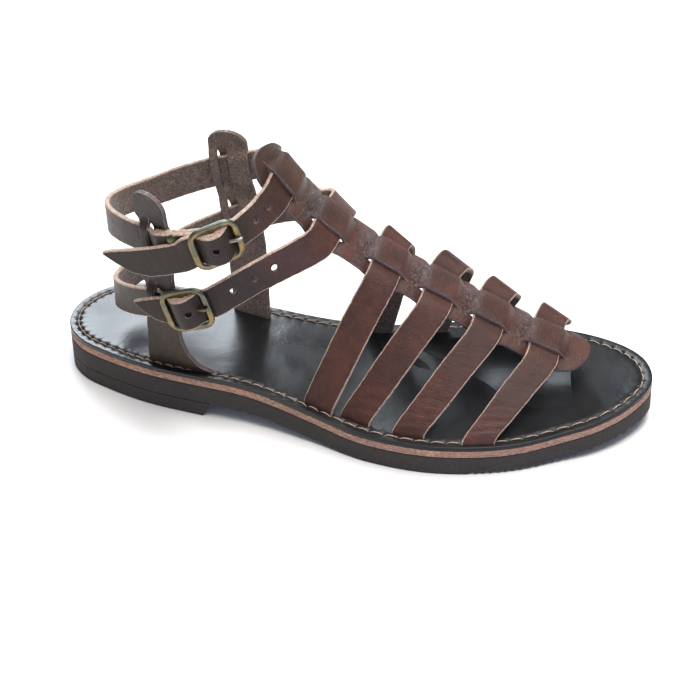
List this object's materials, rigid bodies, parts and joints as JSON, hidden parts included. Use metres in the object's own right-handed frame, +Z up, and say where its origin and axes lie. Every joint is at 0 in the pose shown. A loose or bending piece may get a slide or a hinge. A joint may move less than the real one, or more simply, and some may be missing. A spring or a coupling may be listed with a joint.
{
  "type": "strappy leather sandal",
  "caption": "Flat right-foot leather sandal with a slotted instep spine, straps across the foot, ankle stays and buckled ankle straps on a layered sole.",
  "frame": {"origin": "on the floor, at the centre of the bounding box seen from above", "axes": "+X to the toe, +Y to the inner side of the foot, +Z up"},
  "size_m": [0.2636, 0.0994, 0.1196],
  "materials": {
    "sole_rubber": "matt dark brown crepe",
    "midsole_leather": "raw cut edge, fibrous",
    "insole_leather": "black, satin with a cool sheen",
    "strap_leather": "brown vegetable-tanned, satin, with pale raw edges",
    "buckle_brass": "antique, worn on the edges"
  },
  "bodies": {
    "root": {"outsole": "sole_rubber", "heel": "sole_rubber", "midsole": "midsole_leather", "insole": "insole_leather", "upper": "strap_leather", "buckle_upper_frame": "buckle_brass", "buckle_upper_prong": "buckle_brass", "buckle_lower_frame": "buckle_brass", "buckle_lower_prong": "buckle_brass"}
  },
  "joints": []
}
